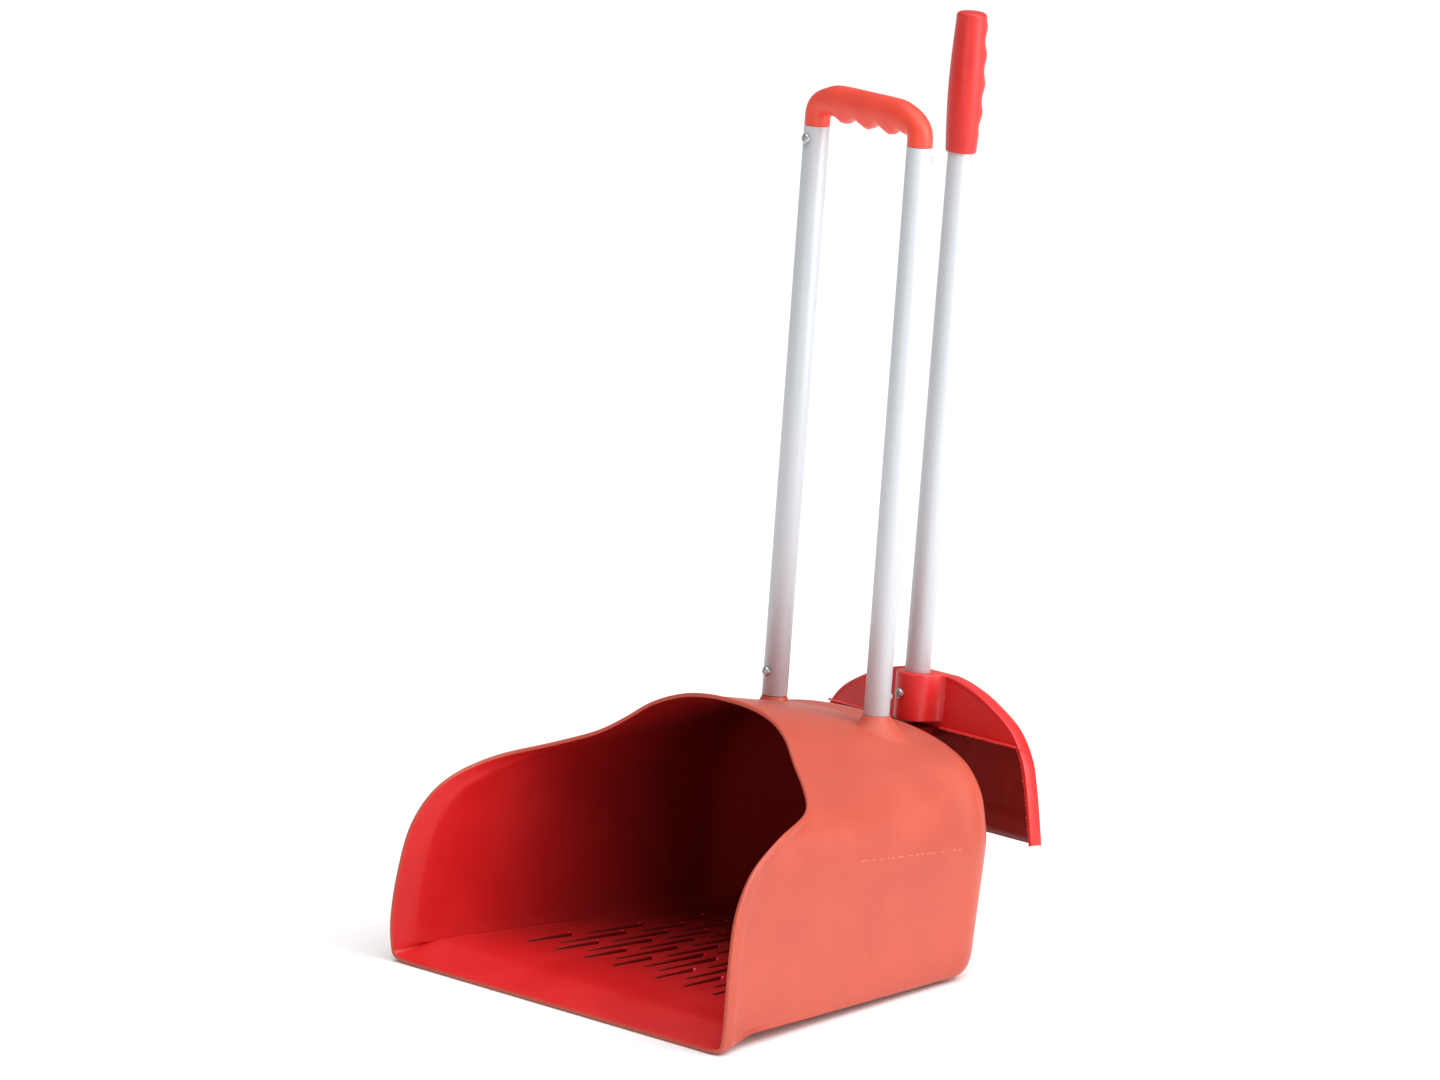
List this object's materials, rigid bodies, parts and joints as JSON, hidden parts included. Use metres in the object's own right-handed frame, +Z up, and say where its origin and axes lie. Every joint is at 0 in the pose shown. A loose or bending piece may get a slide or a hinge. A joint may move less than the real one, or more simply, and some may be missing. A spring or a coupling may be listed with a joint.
{
  "type": "long-handled scoop with scraper",
  "caption": "Deep hooded plastic scoop on twin aluminium tubes with a looped hand grip, and a hoe-like scraper that hangs on a hook behind the hood.",
  "frame": {"origin": "middle of the flat heel land under the rear of the scoop, on the ground", "axes": "+Z up along the handle, -Y towards the mouth of the scoop, +X to the right for someone facing the mouth from inside"},
  "size_m": [0.392, 0.4449, 0.7218],
  "materials": {
    "shell_plastic": "fine satin moulded skin",
    "scraper_plastic": "satin moulded skin with trimmed edges",
    "grip_plastic": "soft satin moulded skin",
    "tube_metal": "satin anodised",
    "screw_metal": "plated"
  },
  "bodies": {
    "scoop": {"scoop_shell": "shell_plastic", "left_tube": "tube_metal", "right_tube": "tube_metal", "left_lower_screw": "screw_metal", "left_upper_screw": "screw_metal", "right_lower_screw": "screw_metal", "right_upper_screw": "screw_metal", "d_grip": "grip_plastic"},
    "scraper": {"scraper_head": "scraper_plastic", "scraper_tube": "tube_metal", "scraper_grip": "grip_plastic", "scraper_screw": "screw_metal"}
  },
  "joints": [
    {"name": "scraper_lift", "type": "slide", "parent": "scoop", "child": "scraper", "axis": [0, 0.1063, 0.9943], "range_m": [0, 0.13]}
  ]
}
